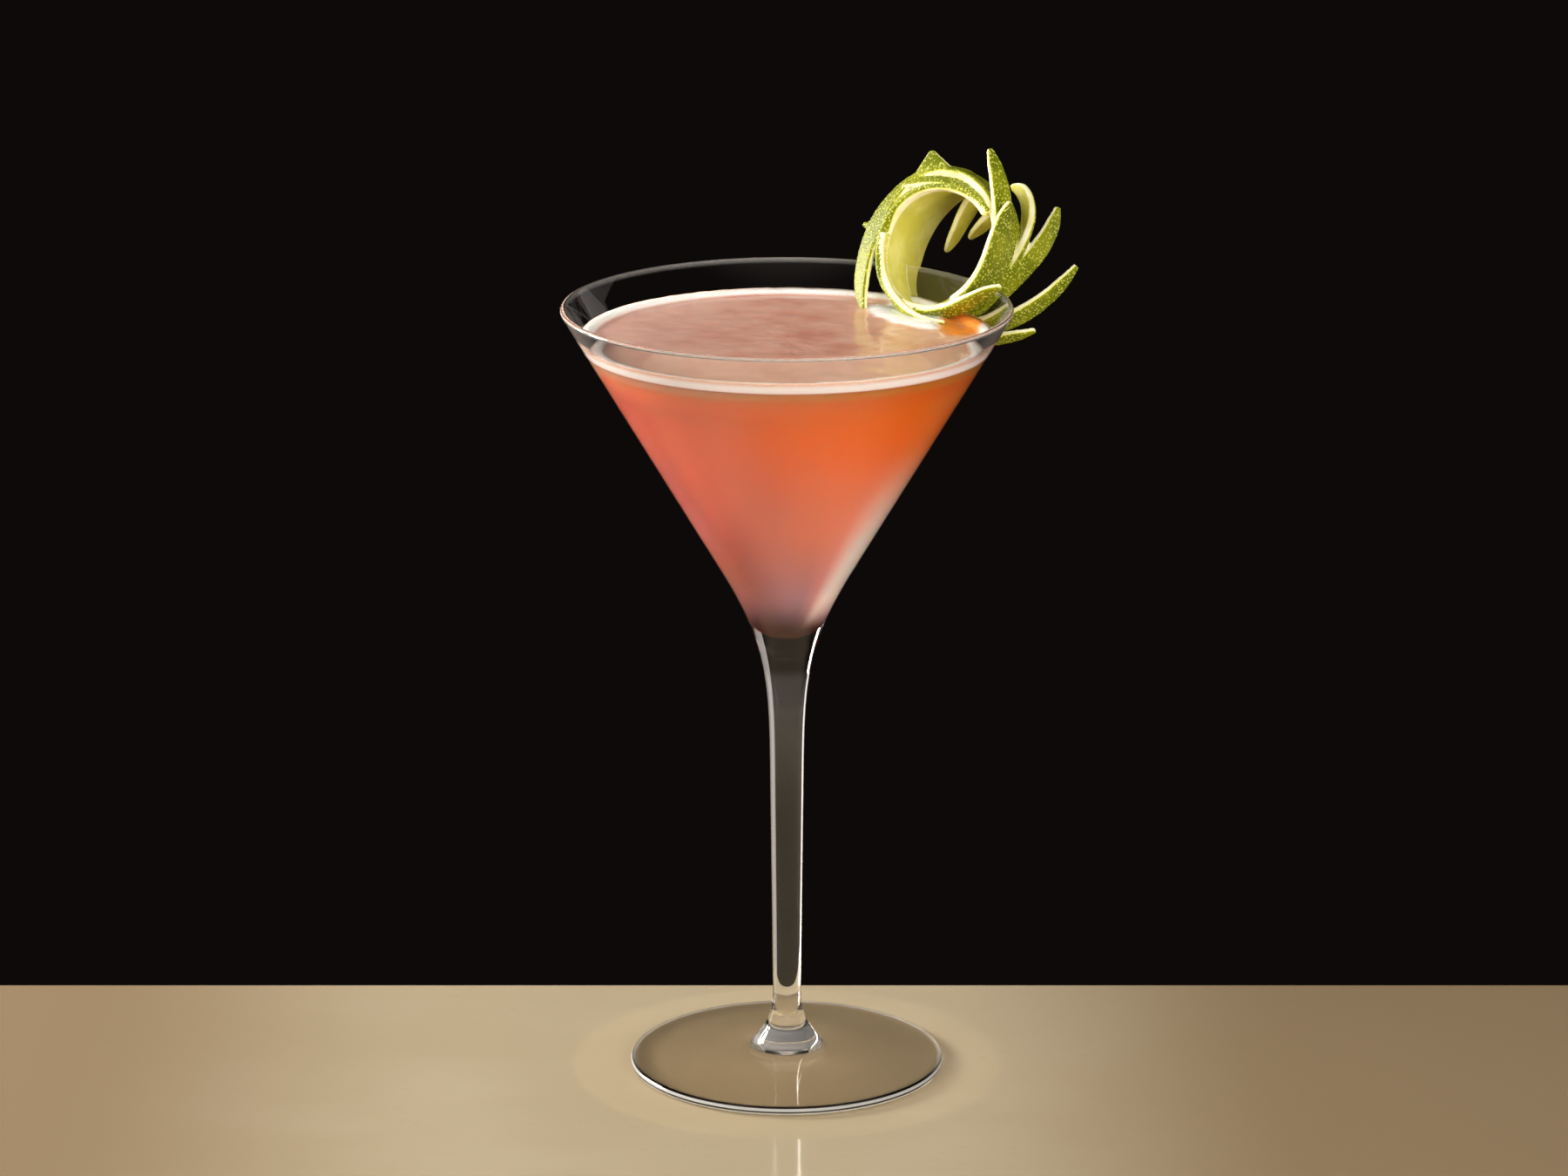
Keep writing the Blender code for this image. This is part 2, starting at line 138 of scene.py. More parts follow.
# Corners of the flat oval across a strip, in half widths and half thicknesses, and the steps between them.
CORNERS = ((-1, -0.5), (-0.9, -1), (0.9, -1), (1, -0.5), (1, 0.5), (0.9, 1), (-0.9, 1), (-1, 0.5))
CORNER_STEPS = 2
EDGE_STEPS = 4
BAND_FACE_STEPS = 40
FINGER_FACE_STEPS = 10
TOOTH_FACE_STEPS = 20
VOXEL = 0.000325  # the strips are fused at this fineness
SOFTENING = 0.5
SOFTENING_ROUNDS = 3
SLIT_GAP = 0.0002  # left round the wall in the slit over the rim
SLIT_DEPTH = 0.030  # how far below the froth it would end
RIM_BEVEL = 0.0004  # height of the slit's sloped shoulder
CUT_SLANT = 0.0020  # how far in from the front edge the slanting cut reaches
CUT_DEPTH = 2.4  # how far round it brings the skin, in half thicknesses
CUT_CURVE = 0.7
DEEPEST = 1.5  # depths in the peel are kept within this, in half thicknesses
GREEN_EDGE = ((150, 185, 290, 330), (0.3, 1, 1, 0))  # angles about the axis, and the cut's slant there
# Angle about the axis, radius of the front edge, front edge, back edge, lean of the skin towards the
# front in degrees, and how far the skin side is shifted back.
RADIUS, FRONT_EDGE, BACK_EDGE, LEAN, SHIFT = 1, 2, 3, 4, 5
COIL = (
    (45, 0.0142, 0.0005, 0.0150, 5, 0.0000),
    (70, 0.0139, 0.0000, 0.0170, 12, 0.0000),
    (95, 0.0141, 0.0003, 0.0210, 16, 0.0000),
    (120, 0.0151, 0.0010, 0.0240, 12, -0.0004),
    (145, 0.0163, 0.0018, 0.0240, 6, -0.0008),
    (170, 0.0157, 0.0012, 0.0215, 2, -0.0014),
    (190, 0.0152, 0.0005, 0.0190, 0, -0.0016),
    (230, 0.0156, 0.0000, 0.0150, 0, -0.0016),
    (270, 0.0152, 0.0000, 0.0150, 8, -0.0006),
    (320, 0.0137, 0.0000, 0.0150, 0, 0.0000),
    (370, 0.0149, 0.0005, 0.0140, 0, 0.0000),
    (420, 0.0163, 0.0015, 0.0120, 0, 0.0000),
    (450, 0.0180, 0.0025, 0.0090, 8, 0.0000),
    (480, 0.0194, 0.0030, 0.0088, 30, 0.0000),
)
FRONT, BACK = -1, 1
# The pointed fingers slashed from both edges: edge, angle of the root, half width, tip (u, v, a),
# how far the tip turns out of the straight line to it, lean of the skin at the tip, in degrees.
FINGERS = (
    (FRONT, 52, 0.0014, (-0.0140, 0.0135, 0.0022), 25, 45),
    (FRONT, 185, 0.0020, (0.0085, -0.0181, -0.0025), 45, 22),
    (FRONT, 258, 0.0022, (0.0214, -0.0080, -0.0030), 0, 25),
    (FRONT, 312, 0.0030, (0.0182, 0.0122, -0.0020), -5, 10),
    (FRONT, 365, 0.0027, (0.0082, 0.0244, 0.0000), 15, 28),
    (FRONT, 462, 0.0033, (-0.0156, -0.0173, 0.0010), 54, 70),
    (BACK, 338, 0.0034, (0.0065, 0.0195, 0.0170), 72, -55),
    (BACK, 318, 0.0031, (0.0198, 0.0161, 0.0170), 30, 12),
    (BACK, 264, 0.0028, (0.0289, 0.0028, 0.0160), 35, 12),
    (BACK, 258, 0.0022, (0.0240, -0.0143, 0.0125), 20, 15),
    (BACK, 420, 0.0029, (-0.0089, 0.0028, 0.0200), 10, 0),
    (BACK, 395, 0.0025, (-0.0034, 0.0067, 0.0200), 20, 0),
)
# Short spikes that stand up from the outer turn: root (u, v, a), tip (u, v, a), half width.
TEETH = (
    ((-0.0077, 0.0165, 0.0055), (-0.0094, 0.0231, 0.0040), 0.0070),
    ((-0.0205, 0.0031, 0.0050), (-0.0235, 0.0036, 0.0045), 0.0013),
)

# Camera, fitted to the photo
CAMERA_AT = (-0.00069, -1.28566, 0.48061)
CAMERA_PITCH = 0.2758
CAMERA_LENS = 132.07
CAMERA_SENSOR = 36.0
CAMERA_CLIP = (0.05, 50.0)

# Lamps: name, azimuth and elevation in degrees, distance, size, watts, colour, whether polished surfaces
# mirror it, and whether it shows through the glass. Azimuth 0 is behind the glass and 90 to its left, as the
# camera sees it. They all point at the same height on the glass's axis.
LAMPS = (
    ("key", 71, 16, 1.0, (0.20, 0.25), 11.5, (1.0, 0.93, 0.83), True, False),
    ("edge", 54, 14, 1.0, (0.16, 0.60), 5.0, (1.0, 0.95, 0.88), True, True),
    ("front_left", 118, 30, 1.5, (0.7, 0.7), 13.5, (1.0, 0.95, 0.88), False, False),
    ("front_right", 206, 16, 1.5, (0.8, 0.6), 20.0, (1.0, 0.94, 0.86), False, False),
    ("low_left", 66, -14, 1.0, (0.40, 0.50), 0.85, (1.0, 0.91, 0.86), True, True),
    ("low_right", 295, -2, 1.0, (1.15, 0.90), 1.30, (1.0, 0.90, 0.84), True, True),
)
LAMPS_AIM_AT = 0.12

# Room: dark to the sides, with a soft pale ceiling
ROOM_DARK = (0.0040, 0.0031, 0.0028)
ROOM_OVERHEAD = (0.85, 0.77, 0.67)
OVERHEAD_FROM, OVERHEAD_FULL = radians(46), radians(75)  # above the horizon
# What polished surfaces see of the counter, without its hard edges: from nothing to all of the glow as the
# direction turns to the front and down.
COUNTER_GLOW = (0.60, 0.48, 0.32)
GLOW_TO_FRONT = (0.35, -0.25)
GLOW_DOWN = (0.02, -0.14)

# Floor
FLOOR_BACK = 0.0534  # where the counter ends behind the glass
FLOOR_FRONT = -0.9
FLOOR_HALF_WIDTH = 0.8
FLOOR_THICKNESS = 0.03
FLOOR_GAP = 0.0002
FLOOR_BEVEL = 0.002
FLOOR_BEVEL_STEPS = 4
FLOOR_LIT_X = -0.025  # painted light: the counter is palest along this line
FLOOR_LIT_WIDTHS = (0.045, 0.15)  # half widths where painted shade begins to darken it, and where it is darkest
NEAR_FLOOR_RADIUS = 0.051
NEAR_FLOOR_SIDES = 96

# Share of the lamps' light that passes the glass
PAST_FOOT = (0.68, 0.625, 0.54)
PAST_BOWL = (0.99, 0.99, 0.98)
PAST_FOOT_EDGE = (0.20, 0.18, 0.15)
PAST_EDGE_ON = (0.28, 0.27, 0.25)
FOOT_TO_BOWL = (0.006, 0.020)  # heights over which the first goes over to the second
TO_EDGE_ON = (0.4, 1.0)  # how far edge on, where the last starts and where it is all

# Painted highlights, where real glass catches light: parts of the glass that are a little pale, with a share
# of white. The heights where each starts and is full, and its share
FOOT_PALE_TOP = (0.0030, 0.0040)
FOOT_PALE_RADII = (0.0352, 0.0362)
FOOT_HIGHLIGHT = 0.45
FOOT_LINES = (0.0019, 0.0009)  # two thin lines round the foot's edge stay clear
FOOT_LINE_WIDTHS = (0.0001, 0.0003)
COLLAR_PALE_AT = 0.0075  # the collar's band goes from full to nothing with the distance from here
COLLAR_PALE_WIDTHS = (0.0015, 0.0026)
COLLAR_HIGHLIGHT = 0.17
RIM_PALE_DEPTHS = (0.0012, 0.0006)  # below the top
RIM_HIGHLIGHT = 0.08
STEM_PALE_LOW = (0.060, 0.088)
STEM_PALE_TOP = (0.0975, 0.0955)
STEM_HIGHLIGHT = 0.015
# Painted reflection: a pink share on the front wall over the froth, where that is seen edge on.
REFLECTION_EDGE = 0.0004
REFLECTION_FRONT = 0.006
REFLECTION_EDGE_ON = (0.55, 0.95)
REFLECTION_SHARE = 0.26

# The drink's colours change across it by shares of a radius a little inside the wall: INNER_SLOPE times the
# height, plus the offset, and never under the least one
DRINK_RADIUS_OFFSET = -0.0633
DRINK_LEAST_RADIUS = 0.002


def srgb(red, green, blue):
    """Scene-linear colour of 8-bit screen values."""
    shares = [v / 255 for v in (red, green, blue)]
    return tuple(s / 12.92 if s <= 0.04045 else ((s + 0.055) / 1.055) ** 2.4 for s in shares)


# Outlines, as (radius, height) pairs


def arc(centre, radius, start, end, steps):
    angles = [radians(start + (end - start) * i / steps) for i in range(steps + 1)]
    return [(centre[0] + radius * cos(a), centre[1] + radius * sin(a)) for a in angles]


def bezier(p0, p1, p2, p3, steps):
    points = [np.array(p) for p in (p0, p1, p2, p3)]
    shares = [i / steps for i in range(steps + 1)]
    return [
        (1 - t) ** 3 * points[0]
        + 3 * t * (1 - t) ** 2 * points[1]
        + 3 * t * t * (1 - t) * points[2]
        + t**3 * points[3]
        for t in shares
    ]


def line(start, end, steps):
    """Points between two ends, without the ends."""
    shares = [i / steps for i in range(1, steps)]
    return [tuple(float(a + (b - a) * t) for a, b in zip(start, end)) for t in shares]


def between(x, stations, values):
    return float(np.interp(x, stations, values))


def rim_point(angle):
    """A point of the half-round rim, in degrees from outward."""
    half = RIM_WALL / 2
    return RIM_RADIUS - half + half * cos(radians(angle)), HEIGHT - half + half * sin(radians(angle))


def cone_radius(height):
    """Outer radius of the bowl on its straight part, which runs off the rim."""
    radius, top = rim_point(-degrees(atan(CONE_SLOPE)))
    return radius - CONE_SLOPE * (top - height)


def hollow_radius(height):
    """Inner radius of the bowl on its straight part."""
    radius, top = rim_point(180 - degrees(atan(INNER_SLOPE)))
    return radius - INNER_SLOPE * (top - height)


def foot_outline():
    edge = FOOT_EDGE / 2
    rounded = arc((FOOT_RADIUS - edge, edge), edge, -90, 75, ARC_STEPS)
    shoulder = COLLAR_RADIUS - COLLAR_SHOULDER
    collar = bezier(
        (COLLAR_RADIUS + COLLAR_SKIRT, FOOT_RISE),
        (COLLAR_RADIUS + 0.0004, FOOT_RISE + 0.0004),
        (COLLAR_RADIUS + 0.0003, COLLAR_TOP - 0.0016),
        (shoulder, COLLAR_TOP),
        COLLAR_STEPS,
    )
    neck = bezier(
        (shoulder, COLLAR_TOP),
        (shoulder - 0.0011, COLLAR_TOP + NECK_PULL),
        (STEM_LOW_RADIUS, STEM_LOW - 0.005),
        (STEM_LOW_RADIUS, STEM_LOW),
        COLLAR_STEPS,
    )
    under = bezier(
        (0.0, FOOT_HOLLOW),
        (0.35 * FOOT_RING, FOOT_HOLLOW),
        (0.57 * FOOT_RING, 0.55 * FOOT_HOLLOW),
        (FOOT_RING, 0.0),
        FOOT_HOLLOW_STEPS,
    )
    top = line(rounded[-1], collar[0], WALL_STEPS)
    return [*under, *rounded, *top, *collar, *neck[1:]]


def flare_outline():
    return bezier(
        (STEM_TOP_RADIUS, FLARE_START),
        (STEM_TOP_RADIUS + 0.01 * FLARE_LOW_HANDLE, FLARE_START + FLARE_LOW_HANDLE),
        (cone_radius(FLARE_END - FLARE_HIGH_HANDLE), FLARE_END - FLARE_HIGH_HANDLE),
        (cone_radius(FLARE_END), FLARE_END),
        FLARE_STEPS,
    )


def rim_outline():
    first = -degrees(atan(CONE_SLOPE))
    last = 180 - degrees(atan(INNER_SLOPE))
    return [rim_point(first + (last - first) * i / ARC_STEPS) for i in range(ARC_STEPS + 1)]


def hollow_bottom(radius):
    """Arc of the hollow's rounded bottom, from the axis out to the straight wall."""
    lean = degrees(atan(INNER_SLOPE))
    return arc((0.0, BOWL_FLOOR + BOWL_FLOOR_RADIUS), radius, -90, -lean, ARC_STEPS)


def glass_outline():
    foot, flare, rim = foot_outline(), flare_outline(), rim_outline()
    hollow = hollow_bottom(BOWL_FLOOR_RADIUS)[::-1]
    stem = line(foot[-1], flare[0], STEM_STEPS)
    cone = line(flare[-1], rim[0], WALL_STEPS)
    inside = line(rim[-1], hollow[0], WALL_STEPS)
    return [*foot, *stem, *flare, *cone, *rim, *inside, *hollow]


def drink_outline():
    """The liquid, from its bottom on the axis, up the wall and back to the axis under the froth."""
    floor = hollow_bottom(BOWL_FLOOR_RADIUS + INTO_WALL)
    wall_top = (hollow_radius(FROTH_BOTTOM) + INTO_WALL, FROTH_BOTTOM)
    side = line(floor[-1], wall_top, DRINK_SIDE_STEPS)
    top = FROTH_BOTTOM + INTO_FROTH
    return [*floor, *side, wall_top, (wall_top[0] - FROM_FROTH_EDGE, top), (0.0, top)]


def turned(outline, closed=False):
    """The surface that an outline sweeps out about Z. It starts and ends on the axis, or is closed."""
    builder = bmesh.new()
    verts = [builder.verts.new((float(r), 0.0, float(z))) for r, z in outline]
    ends = verts[1:] + verts[:1] if closed else verts[1:]
    edges = [builder.edges.new(pair) for pair in zip(verts, ends)]
    bmesh.ops.spin(
        builder,
        geom=verts + edges,
        axis=(0, 0, 1),
        cent=(0, 0, 0),
        angle=2 * pi,
        steps=SEGMENTS,
        use_merge=True,
    )
    bmesh.ops.remove_doubles(builder, verts=builder.verts, dist=1e-6)
    bmesh.ops.recalc_face_normals(builder, faces=builder.faces)
    return builder


def add_object(name, mesh_builder, finish):
    mesh = bpy.data.meshes.new(name)
    mesh_builder.to_mesh(mesh)
    mesh_builder.free()
    mesh.shade_smooth()
    obj = bpy.data.objects.new(name, mesh)
    bpy.context.scene.collection.objects.link(obj)
    if finish:
        mesh.materials.append(finish)
    return obj


def apply_modifiers(obj):
    graph = bpy.context.evaluated_depsgraph_get()
    mesh = bpy.data.meshes.new_from_object(obj.evaluated_get(graph))
    obj.modifiers.clear()
    obj.data = mesh


def tree_of(points):
    """A tree that finds the nearest of these points."""
    tree = KDTree(len(points))
    for i, point in enumerate(points):
        tree.insert(point, i)
    tree.balance()
    return tree


def piece(obj, node):
    """Puts a finished piece in the place of a CAD node."""
    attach(obj, "root")
    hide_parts(node)
    return obj


# Froth


def in_bare_patch(x, y):
    """0 in the middle of the bare patch, 1 on its edge, more outside."""
    dx, dy = x - BARE_PATCH_AT[0], y - BARE_PATCH_AT[1]
    c, s = cos(BARE_PATCH_TURN), sin(BARE_PATCH_TURN)
    across, along = dx * c + dy * s, -dx * s + dy * c
    return ((across / BARE_PATCH_SIZE[0]) ** 2 + (along / BARE_PATCH_SIZE[1]) ** 2) ** 0.5


def wave(x, y, layer, scale):
    """Smooth noise, between -1 and 1."""
    return noise.noise(Vector((x, y, layer)) * scale)


def in_foam_bank(x, y):
    """1 along the bank of foam, falling to 0 at its edge."""
    here = Vector((x, y))
    gaps = []
    for start, end in zip(FOAM_LINE, FOAM_LINE[1:]):
        a, b = Vector(start), Vector(end)
        share = min(1.0, max(0.0, (here - a).dot(b - a) / (b - a).length_squared))
        gaps.append((a + share * (b - a) - here).length)
    depth, layer, scale = FOAM_LINE_RAGGED
    ragged = 1 + depth * wave(x, y, layer, scale)
    return max(0.0, 1 - min(gaps) / (FOAM_LINE_WIDTH * ragged))


def froth_outline():
    low = (hollow_radius(FROTH_BOTTOM) + INTO_WALL, FROTH_BOTTOM)
    high = (hollow_radius(FROTH_EDGE_TOP) + INTO_WALL, FROTH_EDGE_TOP)
    inner = (high[0] - FROTH_EDGE_WIDTH, FROTH_TOP)
    crest = (high[0] - FROTH_CREST[0], FROTH_EDGE_TOP - FROTH_CREST[1])
    from_crest = (crest[0] - FROTH_ROLL[0], crest[1])
    roll = bezier(crest, from_crest, (inner[0] + FROTH_ROLL[1], inner[1]), inner, FROTH_ROLL_STEPS)
    side = line(low, high, FROTH_SIDE_STEPS)
    flat = line(inner, (0.0, FROTH_TOP), FROTH_TOP_STEPS)
    return [(0.0, FROTH_BOTTOM), low, *side, high, *roll, *flat, (0.0, FROTH_TOP)]


def foam_near(x, y, wet_peel):
    """1 at the peel and along the bank beside it, 0 away from them."""
    gap = wet_peel.find(Vector((x, y, FROTH_TOP)))[2]
    return max(0.0, 1 - gap / FOAM_REACH, min(1.0, FOAM_LINE_STRENGTH * in_foam_bank(x, y)))


def froth_relief(x, y, near, open_here):
    """How far the froth's top is off its mean height."""
    swell = sum(size * wave(x, y, layer, scale) for size, layer, scale in SWELLS)
    dip = BARE_PATCH_DIP * max(0.0, 1 - open_here)
    clear = min(1.0, max(0.0, open_here - CLEAR_OF_BARE) * CLEAR_OF_BARE_SLOPE)
    return swell - dip + FOAM_LIFT * near**FOAM_CURVE * clear


def shape_froth(obj, peel):
    """Uneven top: small swells, foam that climbs the glass and the peel, a dip where it has parted."""
    at_froth = [v.co for v in peel.data.vertices if abs(v.co.z - FROTH_TOP) < PEEL_IS_WET]
    wet_peel = tree_of([co for co in at_froth if co.x > FOAM_FROM_X])
    near_peel = obj.data.attributes.new("near_peel", "FLOAT", "POINT")
    bare = obj.data.attributes.new("bare", "FLOAT", "POINT")
    at_wall = obj.data.attributes.new("at_wall", "FLOAT", "POINT")
    for i, v in enumerate(obj.data.vertices):
        x, y, z = v.co
        is_side = z < FROTH_TOP - FROTH_FACE
        at_glass = (x * x + y * y) ** 0.5 > hollow_radius(z) - FROTH_AT_GLASS
        near, open_here = foam_near(x, y, wet_peel), in_bare_patch(x, y)
        near_peel.data[i].value = near
        bare.data[i].value = open_here
        at_wall.data[i].value = 1.0 if is_side or at_glass else 0.0
        if not is_side:
            v.co.z = z + froth_relief(x, y, near, open_here)


# Peel

Section = namedtuple("Section", "centre side out half_width thickness shift green_edge")


def coil_axes():
    u = Vector((cos(COIL_AZIMUTH), -sin(COIL_AZIMUTH), 0.0))
    a = Vector((sin(COIL_AZIMUTH) * cos(COIL_DIP), cos(COIL_AZIMUTH) * cos(COIL_DIP), -sin(COIL_DIP)))
    return u, u.cross(a), a


U, V, A = coil_axes()
SMOOTHING = np.linspace(-14, 14, 9)  # degrees, over which coil_value takes the mean
COIL_TABLE = np.array(COIL)


def coil_value(angle, column):
    """A column of COIL at this angle, with its corners smoothed."""
    return float(np.interp(angle + SMOOTHING, COIL_TABLE[:, 0], COIL_TABLE[:, column]).mean())


def outward(angle):
    return cos(radians(angle)) * U + sin(radians(angle)) * V


def ring_point(u, v, a):
    return COIL_AT + u * U + v * V + a * A


def leaning(side, face, lean):
    """The strip's two cross directions, turned so that its skin leans towards the front."""
    c, s = cos(radians(lean)), sin(radians(lean))
    return c * side + s * face, c * face - s * side


def coil_point(angle, along):
    """A point halfway through the strip, which leans from its front edge."""
    side, _ = leaning(A, outward(angle), coil_value(angle, LEAN))
    front = coil_value(angle, FRONT_EDGE)
    return COIL_AT + coil_value(angle, RADIUS) * outward(angle) + front * A + (along - front) * side


def coil_direction(angle, along):
    return (coil_point(angle + 1, along) - coil_point(angle - 1, along)).normalized()


def band_sections():
    first, last = COIL[0][0], COIL[-1][0]
    sections = []
    for angle in np.linspace(first, last, BAND_STEPS):
        front, back = coil_value(angle, FRONT_EDGE), coil_value(angle, BACK_EDGE)
        side, face = leaning(A, outward(angle), coil_value(angle, LEAN))
        centre = coil_point(angle, (front + back) / 2)
        stations = (first, first + BAND_TAPER[0], last - BAND_TAPER[1], last)
        thickness = PEEL * between(angle, stations, (BAND_ENDS[0], 1, 1, BAND_ENDS[1]))
        green_edge = between(angle, *GREEN_EDGE)
        shift = coil_value(angle, SHIFT)
        sections.append(Section(centre, side, face, (back - front) / 2, thickness, shift, green_edge))
    return sections


def finger_path(edge, root, half_width, tip, turn):
    """The finger's middle line: its root inside the strip, and its free part up to the tip."""
    column = FRONT_EDGE if edge == FRONT else BACK_EDGE
    along = coil_value(root, column) - edge * FINGER_INSET * half_width
    start, leaving = coil_point(root, along), coil_direction(root, along)
    end = ring_point(*tip)
    chord = end - start
    across, up, back = chord.dot(U), chord.dot(V), chord.dot(A)
    c, s = cos(radians(turn)), sin(radians(turn))
    arriving = (across * c - up * s) * U + (across * s + up * c) * V + back * A
    pull = START_PULL * chord.length
    before_end = end - END_PULL * pull * arriving.normalized()
    path = bezier(start, start + pull * leaving, before_end, end, FINGER_STEPS)
    overlap = [coil_point(root - FINGER_OVERLAP + i * OVERLAP_STEP, along) for i in range(OVERLAP_STEPS)]
    return overlap, [Vector(point) for point in path]


def finger_sections(edge, root, half_width, tip, turn, tip_lean):
    overlap, free = finger_path(edge, root, half_width, tip, turn)
    path = overlap + free
    last = len(path) - 1
    root_lean = coil_value(root, LEAN)
    out = outward(root)
    sections = []
    for i, point in enumerate(path):
        share = max(i - len(overlap), 0) / FINGER_STEPS
        ahead = (path[min(i + 1, last)] - path[max(i - 1, 0)]).normalized()
        side = (A - A.dot(ahead) * ahead).normalized()
        normal = ahead.cross(side)
        if normal.dot(out) < 0:
            normal.negate()
        out = normal
        lean = root_lean + (tip_lean - root_lean) * between(share, *FINGER_LEANS)
        across, face = leaning(side, normal, lean)
        width = half_width * between(share, *FINGER_WIDTHS)
        thickness = PEEL * between(share, *FINGER_THICKNESSES)
        sections.append(Section(point, across, face, width, thickness, 0.0, 0.0))
    return sections


def tooth_sections(root, tip, half_width):
    """A spike whose skin faces the front."""
    start, end = ring_point(*root), ring_point(*tip)
    ahead = (end - start).normalized()
    face = (A.dot(ahead) * ahead - A).normalized()
    side = ahead.cross(face)
    at_root, at_tip = TOOTH_THICKNESSES
    sections = []
    for share in [i / TOOTH_STEPS for i in range(TOOTH_STEPS + 1)]:
        width = half_width + (TOOTH_TIP - half_width) * share
        thickness = PEEL * (at_root + (at_tip - at_root) * share)
        sections.append(Section(start + (end - start) * share, side, face, width, thickness, 0.0, 0.0))
    return sections


def section_loop(face_steps):
    """Points round the flat oval, in half widths and half thicknesses."""
    steps = (CORNER_STEPS, face_steps, CORNER_STEPS, EDGE_STEPS) * 2
    points = []
    for corner, after, count in zip(CORNERS, CORNERS[1:] + CORNERS[:1], steps):
        points.append(corner)
        points += line(corner, after, count)
    return points


def cross_section(section, loop):
    """The oval across the strip at this section, its skin side shifted."""
    points = []
    for x, y in loop:
        sideways = x * section.half_width + y * section.shift / 2
        points.append(section.centre + sideways * section.side + y * section.thickness / 2 * section.out)
    return points


def add_strip(builder, sections, loop):
    """Adds a closed solid through the sections, with flat ends."""
    rings = [[builder.verts.new(point) for point in cross_section(section, loop)] for section in sections]
    count = len(loop)
    for near, far in zip(rings, rings[1:]):
        for i in range(count):
            builder.faces.new((near[i], near[(i + 1) % count], far[(i + 1) % count], far[i]))
    builder.faces.new(reversed(rings[0]))
    builder.faces.new(rings[-1])


def peel_source():
    """All strips as one mesh builder, with each vertex's section."""
    builder = bmesh.new()
    owners = []
    strips = [(band_sections(), section_loop(BAND_FACE_STEPS))]
    strips += [(finger_sections(*row), section_loop(FINGER_FACE_STEPS)) for row in FINGERS]
    strips += [(tooth_sections(*row), section_loop(TOOTH_FACE_STEPS)) for row in TEETH]
    for sections, loop in strips:
        add_strip(builder, sections, loop)
        owners += [section for section in sections for _ in loop]
    bmesh.ops.recalc_face_normals(builder, faces=builder.faces)
    return builder, owners


def wall_cutter():
    """The bowl's wall and rim, a little larger, for the slit over the rim."""
    low = FROTH_BOTTOM - SLIT_DEPTH
    shoulder = HEIGHT - RIM_BEVEL
    top = HEIGHT + SLIT_GAP
    outline = [
        (cone_radius(low) + SLIT_GAP, low),
        (RIM_RADIUS + SLIT_GAP, shoulder),
        (RIM_RADIUS - SLIT_GAP, top),
        (RIM_RADIUS - RIM_WALL + SLIT_GAP, top),
        (hollow_radius(HEIGHT) - SLIT_GAP, shoulder),
        (hollow_radius(low) - SLIT_GAP, low),
    ]
    return add_object("wall_cutter", turned(outline, closed=True), None)


def depth_in_peel(co, section):
    """-1 on the pith face, 1 on the skin; a slanting cut brings the skin round to the front edge."""
    depth = (co - section.centre).dot(section.out) / (section.thickness / 2)
    from_front = section.half_width + (co - section.centre).dot(section.side)
    at_edge = max(0.0, 1 - max(0.0, from_front) / CUT_SLANT)
    return depth + CUT_DEPTH * section.green_edge * at_edge**CUT_CURVE


def fuse(obj):
    """Joins the strips to one skin, its edges a little rounded."""
    remesh = obj.modifiers.new("fuse", "REMESH")
    remesh.mode = "VOXEL"
    remesh.voxel_size = VOXEL
    soften = obj.modifiers.new("soften", "SMOOTH")
    soften.factor = SOFTENING
    soften.iterations = SOFTENING_ROUNDS
    apply_modifiers(obj)


def cut_slit(obj):
    cutter = wall_cutter()
    bpy.context.view_layer.update()
    slit = obj.modifiers.new("slit", "BOOLEAN")
    slit.operation = "DIFFERENCE"
    slit.object = cutter
    slit.solver = "MANIFOLD"
    apply_modifiers(obj)
    bpy.data.objects.remove(cutter, do_unlink=True)


def mark_layers(mesh, source_points, owners):
    """Says for each vertex how deep in the peel it is, by the section of the nearest source point."""
    layer = mesh.attributes.new("layer", "FLOAT", "POINT")
    depths = np.zeros(len(mesh.vertices), np.float32)
    for i, vert in enumerate(mesh.vertices):
        nearest = source_points.find(vert.co)[1]
        depths[i] = depth_in_peel(vert.co, owners[nearest])
    layer.data.foreach_set("value", np.clip(depths, -DEEPEST, DEEPEST))


def make_peel(finish):
    builder, owners = peel_source()
    source_points = tree_of([vert.co for vert in builder.verts])
    obj = add_object("lime_peel_twist", builder, None)
    fuse(obj)
    cut_slit(obj)
    mesh = obj.data
    mark_layers(mesh, source_points, owners)
    mesh.shade_smooth()
    mesh.materials.clear()
    mesh.materials.append(finish)
    return obj


# Materials


